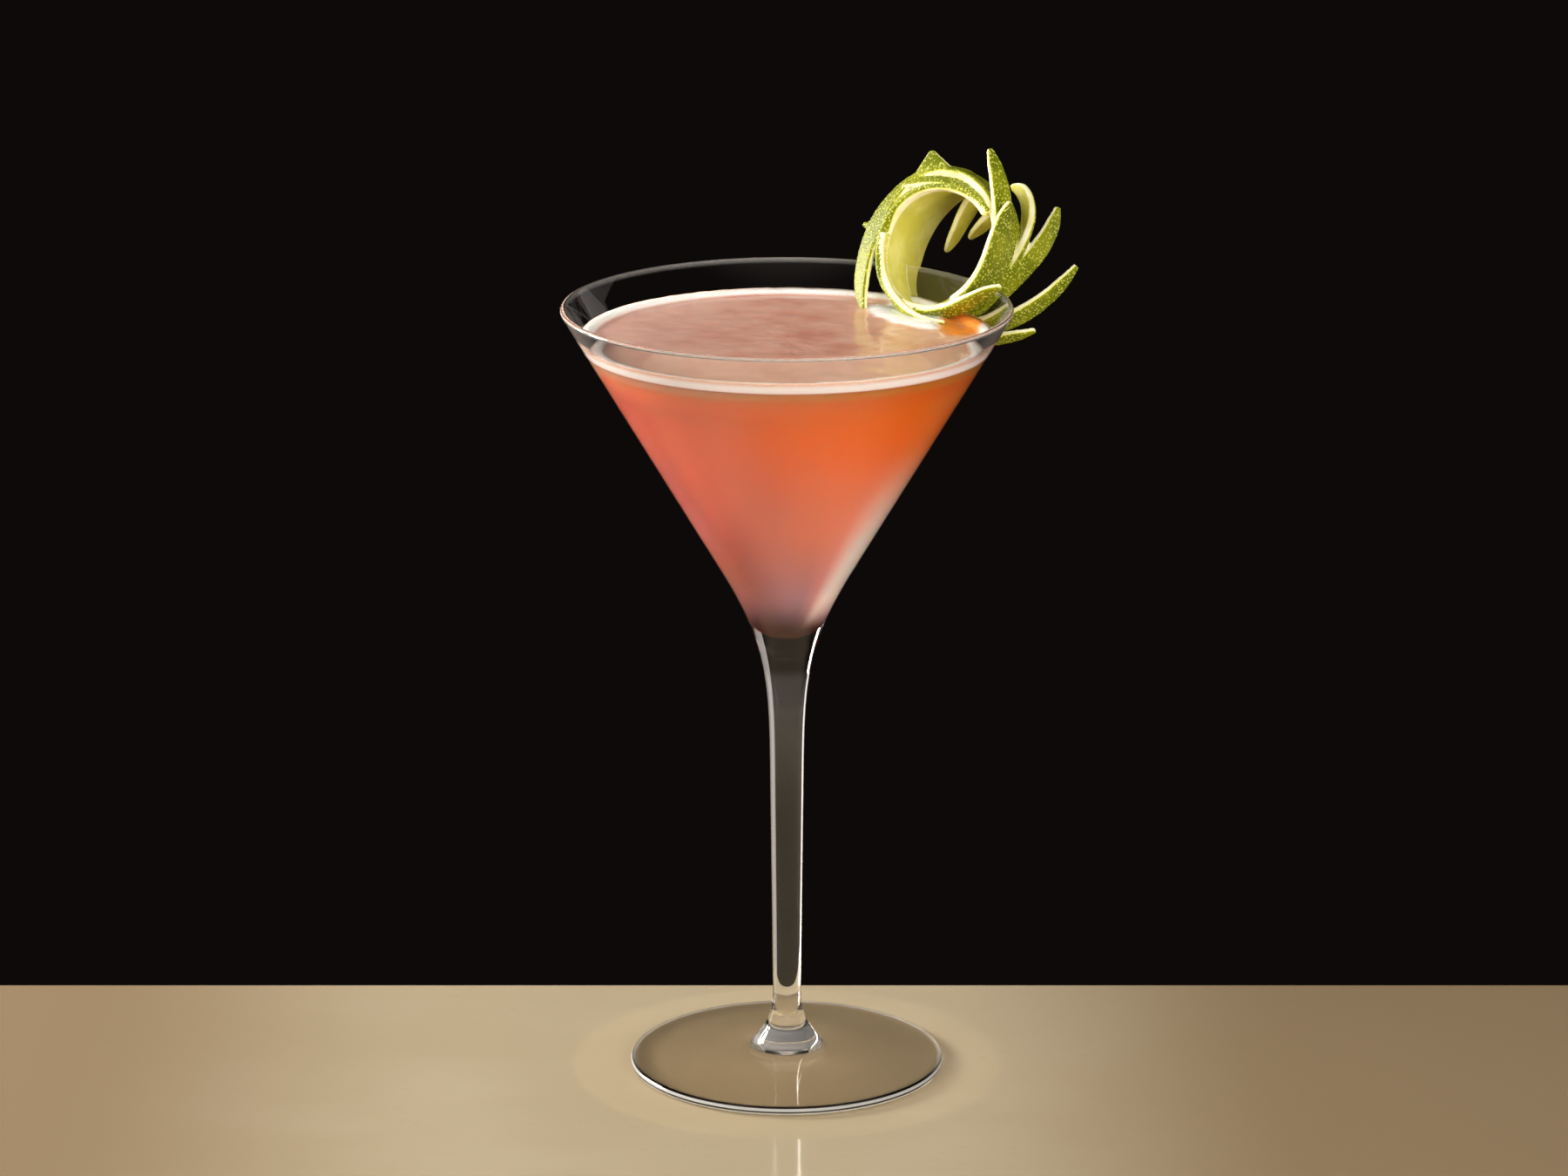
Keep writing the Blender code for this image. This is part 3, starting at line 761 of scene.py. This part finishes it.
class Nodes:
    """Short calls that add nodes to a tree."""

    def __init__(self, tree):
        self.tree = tree

    def put(self, socket, value):
        if isinstance(value, bpy.types.NodeSocket):
            self.tree.links.new(value, socket)
        elif isinstance(value, tuple) and len(value) == 3 and socket.type == "RGBA":
            socket.default_value = (*value, 1.0)
        else:
            socket.default_value = value

    def ranged(self, value, low, high, to_low=0.0, to_high=1.0):
        """A soft step from one number to another, as the value goes from low to high."""
        node = self.tree.nodes.new("ShaderNodeMapRange")
        node.interpolation_type = "SMOOTHSTEP"
        self.put(node.inputs["Value"], value)
        for name, number in zip(("From Min", "From Max", "To Min", "To Max"), (low, high, to_low, to_high)):
            node.inputs[name].default_value = number
        return node.outputs["Result"]

    def math(self, operation, a, b=0.0, c=0.0):
        node = self.tree.nodes.new("ShaderNodeMath")
        node.operation = operation
        for socket, value in zip(node.inputs, (a, b, c)):
            self.put(socket, value)
        return node.outputs[0]

    def product(self, a, b):
        return self.math("MULTIPLY", a, b)

    def larger(self, a, b):
        return self.math("MAXIMUM", a, b)

    def off(self, value, middle, near, far, at_middle=0.0, away=1.0):
        """A soft step from one number to another with the distance from a middle value."""
        distance = self.math("ABSOLUTE", self.math("SUBTRACT", value, middle))
        return self.ranged(distance, near, far, at_middle, away)

    def mix(self, share, a, b):
        node = self.tree.nodes.new("ShaderNodeMix")
        node.data_type = "RGBA"
        self.put(node.inputs["Factor"], share)
        self.put(node.inputs[6], a)
        self.put(node.inputs[7], b)
        return node.outputs[2]


class Maker(Nodes):
    """Short calls that build one material."""

    def __init__(self, name):
        self.material = bpy.data.materials.new(name)
        self.material.use_nodes = True
        super().__init__(self.material.node_tree)
        self.shader = self.tree.nodes["Principled BSDF"]

    def set(self, **values):
        for name, value in values.items():
            self.put(self.shader.inputs[name.replace("_", " ")], value)

    def coordinates(self):
        return self.tree.nodes.new("ShaderNodeTexCoord").outputs["Object"]

    def axis(self, name):
        split = self.tree.nodes.new("ShaderNodeSeparateXYZ")
        self.put(split.inputs[0], self.coordinates())
        return split.outputs[name]

    def attribute(self, name):
        node = self.tree.nodes.new("ShaderNodeAttribute")
        node.attribute_name = name
        return node.outputs["Fac"]

    def noise(self, scale, detail=3.0, roughness=0.55):
        node = self.tree.nodes.new("ShaderNodeTexNoise")
        self.put(node.inputs["Vector"], self.coordinates())
        node.inputs["Scale"].default_value = scale
        node.inputs["Detail"].default_value = detail
        node.inputs["Roughness"].default_value = roughness
        return node.outputs["Fac"]

    def cells(self, scale):
        """Distance to the middle of the nearest cell."""
        node = self.tree.nodes.new("ShaderNodeTexVoronoi")
        self.put(node.inputs["Vector"], self.coordinates())
        node.inputs["Scale"].default_value = scale
        return node.outputs["Distance"]

    def radius(self):
        """Distance from the Z axis."""
        across, along = self.axis("X"), self.axis("Y")
        squares = self.math("ADD", self.product(across, across), self.product(along, along))
        return self.math("POWER", squares, 0.5)

    def edge_on(self):
        """0 where the surface faces the viewer, 1 where it is seen edge on."""
        return self.tree.nodes.new("ShaderNodeLayerWeight").outputs["Facing"]

    def let_lamps_through(self, at_foot_edge):
        """Shadow rays pass, so that what the glass holds is lit. They are dimmed most edge on."""
        facing = self.mix(self.ranged(self.axis("Z"), *FOOT_TO_BOWL), PAST_FOOT, PAST_BOWL)
        facing = self.mix(at_foot_edge, facing, PAST_FOOT_EDGE)
        tint = self.mix(self.ranged(self.edge_on(), *TO_EDGE_ON), facing, PAST_EDGE_ON)
        clear = self.tree.nodes.new("ShaderNodeBsdfTransparent")
        self.put(clear.inputs["Color"], tint)
        either = self.tree.nodes.new("ShaderNodeMixShader")
        shadow = self.tree.nodes.new("ShaderNodeLightPath").outputs["Is Shadow Ray"]
        for socket, value in zip(either.inputs, (shadow, self.shader.outputs[0], clear.outputs[0])):
            self.put(socket, value)
        self.put(self.tree.nodes["Material Output"].inputs["Surface"], either.outputs[0])

    def bump(self, height, strength, distance):
        node = self.tree.nodes.new("ShaderNodeBump")
        self.put(node.inputs["Height"], height)
        self.put(node.inputs["Strength"], strength)
        node.inputs["Distance"].default_value = distance
        self.put(self.shader.inputs["Normal"], node.outputs["Normal"])


def glass_material():
    """Clear, with a small pale share, a painted highlight where real glass catches light, as these parts look
    black without it.
    """
    m = Maker("clear_glass")
    height = m.axis("Z")
    low = m.ranged(height, *FOOT_PALE_TOP, 1.0, 0.0)
    foot_edge = m.product(m.ranged(m.radius(), *FOOT_PALE_RADII), low)
    upper_line, lower_line = (m.off(height, at, *FOOT_LINE_WIDTHS) for at in FOOT_LINES)
    foot = m.product(foot_edge, m.product(upper_line, lower_line))
    collar = m.off(height, COLLAR_PALE_AT, *COLLAR_PALE_WIDTHS, 1.0, 0.0)
    rim = m.ranged(height, HEIGHT - RIM_PALE_DEPTHS[0], HEIGHT - RIM_PALE_DEPTHS[1])
    # Painted reflection: pink on the front wall just over the froth, most where it is seen edge on.
    above_froth = m.ranged(height, FROTH_EDGE_TOP - REFLECTION_EDGE, FROTH_EDGE_TOP + REFLECTION_EDGE)
    on_front_wall = m.product(above_froth, m.ranged(m.axis("Y"), REFLECTION_FRONT, -REFLECTION_FRONT))
    painted_reflection = m.product(m.product(on_front_wall, m.ranged(m.edge_on(), *REFLECTION_EDGE_ON)), REFLECTION_SHARE)
    stem = m.product(m.ranged(height, *STEM_PALE_LOW), m.ranged(height, *STEM_PALE_TOP))
    # Painted highlights: a share of white on the foot's edge, the collar, the rim and the stem.
    pale = m.product(foot, FOOT_HIGHLIGHT)
    pale = m.larger(pale, m.product(collar, COLLAR_HIGHLIGHT))
    pale = m.larger(pale, m.product(rim, RIM_HIGHLIGHT))
    pale = m.larger(pale, m.larger(painted_reflection, m.product(stem, STEM_HIGHLIGHT)))
    m.set(Base_Color=m.mix(painted_reflection, (1.0, 1.0, 1.0), srgb(255, 176, 156)), Roughness=0.0, IOR=1.5)
    m.set(Transmission_Weight=m.math("SUBTRACT", 1.0, pale))
    m.let_lamps_through(foot_edge)
    return m.material


def drink_colour(m, across, height):
    """Pinker to the left and orange to the upper right, partly the drink's own colour and partly painted
    light; mauve lower down, then painted shade makes it dark at the bottom.
    """
    top = m.mix(m.ranged(across, -0.040, 0.018), srgb(200, 112, 95), srgb(243, 120, 39))
    middle = m.mix(m.ranged(across, -0.024, 0.022), srgb(185, 110, 104), srgb(233, 142, 106))
    low = m.mix(m.ranged(across, -0.014, 0.002), srgb(113, 78, 62), srgb(144, 122, 141))
    # Painted shade: dark at the very bottom, where the drink faces down.
    low = m.mix(m.ranged(height, 0.1080, 0.1195), srgb(20, 14, 12), low)
    lower = m.mix(m.ranged(height, 0.109, 0.140), low, middle)
    return m.mix(m.ranged(height, 0.138, 0.166), lower, top)


def drink_material():
    m = Maker("cosmopolitan")
    across, height = m.axis("X"), m.axis("Z")
    radius_here = m.math("MULTIPLY_ADD", height, INNER_SLOPE, DRINK_RADIUS_OFFSET)
    to_side = m.math("DIVIDE", across, m.larger(radius_here, DRINK_LEAST_RADIUS))
    colour = drink_colour(m, across, height)

    # Painted reflection: a paler band on the left, the veil that reflections on the wall lay over the drink.
    left_painted_veil = m.product(m.ranged(to_side, -0.92, -0.68), m.ranged(to_side, -0.50, -0.10, 1.0, 0.0))
    left_painted_veil = m.product(left_painted_veil, m.ranged(height, 0.130, 0.148, 0.0, 0.5))
    colour = m.mix(left_painted_veil, colour, srgb(240, 148, 122))
    # Painted light: brighter orange against the right wall.
    painted_light_right = m.product(m.ranged(to_side, 0.70, 1.0), m.ranged(height, 0.122, 0.140, 0.0, 0.5))
    colour = m.mix(painted_light_right, colour, srgb(255, 152, 76))
    # Painted light: brighter just under the froth, making up for the shade it casts there.
    painted_light_under_froth = m.mix(m.ranged(across, -0.030, 0.020), srgb(255, 138, 106), srgb(255, 111, 44))
    colour = m.mix(m.ranged(height, 0.1660, 0.1725, 0.0, 0.85), colour, painted_light_under_froth)
    haze = m.noise(28.0, detail=2.0)
    colour = m.mix(m.ranged(haze, 0.35, 0.75, 0.0, 0.10), colour, srgb(236, 160, 140))

    # Painted light: a pale halo and a whiter glow low on the right, where light that the bowl focuses passes
    # through the drink.
    low_down = m.product(m.ranged(height, 0.126, 0.158, 1.0, 0.0), m.ranged(height, 0.1085, 0.1180))
    halo = m.product(m.ranged(to_side, 0.30, 0.80, 0.0, 0.40), low_down)
    colour = m.mix(halo, colour, srgb(250, 178, 170))
    glow = m.product(m.ranged(to_side, 0.60, 0.98), low_down)
    colour = m.mix(glow, colour, srgb(255, 236, 230))
    m.set(Base_Color=colour, Roughness=0.35, IOR=1.33, Specular_IOR_Level=0.1)
    m.set(Subsurface_Weight=1.0, Subsurface_Radius=(1.0, 0.4, 0.2), Subsurface_Scale=0.03)
    return m.material


def froth_skin(m, streaks, patches):
    """The thin skin in the middle: streaked, greyer to the left, paler in front and to the right."""
    skin = m.mix(m.ranged(streaks, 0.40, 0.70), srgb(212, 158, 141), srgb(199, 134, 117))
    skin = m.mix(m.ranged(patches, 0.40, 0.72, 0.0, 0.55), skin, srgb(223, 177, 160))
    skin = m.mix(m.ranged(m.axis("X"), -0.038, 0.0, 0.5, 0.0), skin, srgb(205, 170, 160))
    skin = m.mix(m.ranged(m.axis("Y"), -0.012, -0.036, 0.0, 0.40), skin, srgb(238, 196, 172))
    return m.mix(m.ranged(m.axis("X"), 0.006, 0.036, 0.0, 0.35), skin, srgb(244, 200, 164))


def froth_material():
    m = Maker("froth")
    height = m.axis("Z")
    streaks = m.noise(120.0, detail=2.0, roughness=0.45)
    patches = m.noise(46.0, detail=2.0)
    foam = srgb(252, 249, 250)
    uneven_height = m.math("ADD", height, m.product(patches, 0.0002))
    up_wall = m.ranged(uneven_height, FROTH_TOP + 0.0001, FROTH_TOP + 0.0008)
    colour = m.mix(up_wall, froth_skin(m, streaks, patches), foam)
    at_peel = m.ranged(m.attribute("near_peel"), 0.0, 0.62)
    colour = m.mix(at_peel, colour, foam)

    upper = m.ranged(height, FROTH_EDGE_TOP - 0.0016, FROTH_EDGE_TOP - 0.0001)
    wall_foam = m.mix(upper, foam, srgb(226, 182, 162))
    colour = m.mix(m.ranged(m.attribute("at_wall"), 0.0, 1.0), colour, wall_foam)
    bare = m.ranged(m.math("ADD", m.attribute("bare"), m.product(streaks, 0.5)), 1.0, 1.45, 1.0, 0.0)
    bare = m.product(bare, m.ranged(height, FROTH_TOP - 0.0009, FROTH_TOP - 0.0003))
    colour = m.mix(bare, colour, srgb(255, 148, 62))
    side = m.ranged(height, FROTH_BOTTOM - 0.0002, FROTH_BOTTOM + 0.0006)
    colour = m.mix(side, srgb(232, 150, 120), colour)
    m.set(Base_Color=colour, Roughness=0.45, IOR=1.33)
    m.set(Coat_Weight=0.8, Coat_Roughness=0.06, Coat_IOR=1.33)
    m.set(Subsurface_Weight=0.3, Subsurface_Radius=(0.004, 0.002, 0.0015), Subsurface_Scale=1.0)
    m.bump(m.cells(1500.0), m.product(m.larger(up_wall, at_peel), 0.35), 0.0004)
    return m.material


def peel_material():
    """Green skin with pale glands, yellow-green inside, and pale cut edges between them."""
    m = Maker("lime_peel")
    fibres = m.noise(900.0, detail=3.0)
    layer = m.math("ADD", m.attribute("layer"), m.math("MULTIPLY_ADD", fibres, 0.24, -0.12))
    gland = m.ranged(m.cells(1450.0), 0.26, 0.44, 1.0, 0.0)
    shade = m.noise(120.0, detail=3.0)
    green = m.mix(m.ranged(shade, 0.35, 0.7), srgb(108, 120, 6), srgb(144, 150, 20))
    skin = m.mix(m.product(gland, 0.85), green, srgb(218, 222, 100))
    inner = m.mix(m.ranged(shade, 0.35, 0.7), srgb(209, 203, 86), srgb(227, 223, 130))
    cut = m.mix(m.ranged(shade, 0.30, 0.62), srgb(232, 230, 168), srgb(251, 249, 216))
    pith = m.mix(m.ranged(layer, -0.95, -0.70), inner, cut)
    under_skin = m.mix(m.ranged(layer, 0.25, 0.50), pith, srgb(214, 216, 84))
    colour = m.mix(m.ranged(layer, 0.45, 0.70), under_skin, skin)
    on_skin = m.ranged(layer, 0.50, 0.75)
    m.set(Base_Color=colour, Roughness=m.ranged(on_skin, 0.0, 1.0, 0.65, 0.45), IOR=1.40)
    m.set(Subsurface_Weight=0.25, Subsurface_Radius=(0.0012, 0.0010, 0.0003), Subsurface_Scale=1.0)
    relief = m.math("MULTIPLY_ADD", gland, m.product(on_skin, 0.6), m.product(fibres, 0.35))
    m.bump(relief, 0.6, 0.0003)
    return m.material


def counter_material():
    m = Maker("counter")
    cloud = m.noise(14.0, detail=4.0)
    specks = m.noise(420.0, detail=2.0)
    colour = m.mix(m.ranged(cloud, 0.35, 0.7), srgb(178, 165, 138), srgb(186, 174, 149))
    colour = m.mix(m.ranged(specks, 0.62, 0.75, 0.0, 0.25), colour, srgb(168, 148, 116))
    to_object = 1 / (2 * FLOOR_HALF_WIDTH)  # the counter is a scaled unit cube
    near, far = (width * to_object for width in FLOOR_LIT_WIDTHS)
    # Painted light and shade: palest along a line, darker to either side.
    colour = m.mix(m.off(m.axis("X"), FLOOR_LIT_X * to_object, near, far), colour, srgb(142, 123, 96))
    m.set(Base_Color=colour, Roughness=0.45)
    m.set(Coat_Weight=0.7, Coat_Roughness=0.07)
    return m.material


def near_counter_material():
    m = Maker("counter_near")
    m.set(Base_Color=srgb(171, 158, 132), Roughness=0.6)
    return m.material


# Stage


def make_floor():
    builder = bmesh.new()
    bmesh.ops.create_cube(builder, size=1.0)
    floor = add_object("counter", builder, counter_material())
    floor.data.shade_flat()
    floor.scale = (2 * FLOOR_HALF_WIDTH, FLOOR_BACK - FLOOR_FRONT, FLOOR_THICKNESS)
    floor.location = (0.0, (FLOOR_BACK + FLOOR_FRONT) / 2, -FLOOR_GAP - FLOOR_THICKNESS / 2)
    bevel = floor.modifiers.new("edge", "BEVEL")
    bevel.width = FLOOR_BEVEL
    bevel.segments = FLOOR_BEVEL_STEPS
    floor.visible_glossy = False


def make_floor_near():
    """The counter under the foot, for reflections only: the rest of it would draw hard lines on the bowl."""
    builder = bmesh.new()
    bmesh.ops.create_circle(builder, cap_ends=True, segments=NEAR_FLOOR_SIDES, radius=NEAR_FLOOR_RADIUS)
    near = add_object("counter_near", builder, near_counter_material())
    near.location = (0.0, 0.0, -FLOOR_GAP / 2)
    near.visible_camera = False
    near.visible_diffuse = False
    near.visible_transmission = False
    near.visible_shadow = False


def area_light(name, azimuth, elevation, distance, size, power, colour, reflected, refracted):
    """A soft box, from a row of LAMPS."""
    data = bpy.data.lights.new(name, "AREA")
    data.shape = "RECTANGLE"
    data.size, data.size_y = size
    data.energy = power
    data.color = colour
    light = bpy.data.objects.new(name, data)
    bpy.context.scene.collection.objects.link(light)
    a, e = radians(azimuth), radians(elevation)
    towards = Vector((-sin(a) * cos(e), cos(a) * cos(e), sin(e)))
    light.location = Vector((0.0, 0.0, LAMPS_AIM_AT)) + distance * towards
    light.visible_camera = False
    light.visible_glossy = reflected
    light.visible_transmission = refracted
    light.rotation_euler = towards.to_track_quat("Z", "Y").to_euler()


def make_lights():
    for row in LAMPS:
        area_light(*row)


def make_world():
    world = bpy.data.worlds.new("dark_room")
    world.use_nodes = True
    room = Nodes(world.node_tree)
    split = room.tree.nodes.new("ShaderNodeSeparateXYZ")
    room.put(split.inputs[0], room.tree.nodes.new("ShaderNodeTexCoord").outputs["Generated"])
    back, up = split.outputs["Y"], split.outputs["Z"]
    colour = room.mix(room.ranged(up, sin(OVERHEAD_FROM), sin(OVERHEAD_FULL)), ROOM_DARK, ROOM_OVERHEAD)
    at_counter = room.product(room.ranged(back, *GLOW_TO_FRONT), room.ranged(up, *GLOW_DOWN))
    reflected = room.product(at_counter, room.tree.nodes.new("ShaderNodeLightPath").outputs["Is Glossy Ray"])
    room.put(room.tree.nodes["Background"].inputs["Color"], room.mix(reflected, colour, COUNTER_GLOW))
    bpy.context.scene.world = world


def make_camera():
    data = bpy.data.cameras.new("camera")
    data.lens = CAMERA_LENS
    data.sensor_width = CAMERA_SENSOR
    data.clip_start, data.clip_end = CAMERA_CLIP
    camera = bpy.data.objects.new("camera", data)
    bpy.context.scene.collection.objects.link(camera)
    camera.location = CAMERA_AT
    camera.rotation_euler = (pi / 2 - CAMERA_PITCH, 0.0, 0.0)
    bpy.context.scene.camera = camera


def main():
    bpy.context.scene.view_settings.view_transform = "Standard"
    piece(add_object("cocktail_glass", turned(glass_outline()), glass_material()), "glass")
    piece(add_object("cosmopolitan_drink", turned(drink_outline()), drink_material()), "drink")
    peel = piece(make_peel(peel_material()), "lime_twist")
    froth = add_object("froth_top", turned(froth_outline()), froth_material())
    shape_froth(froth, peel)
    piece(froth, "froth")
    make_floor()
    make_floor_near()
    make_lights()
    make_world()
    make_camera()


main()
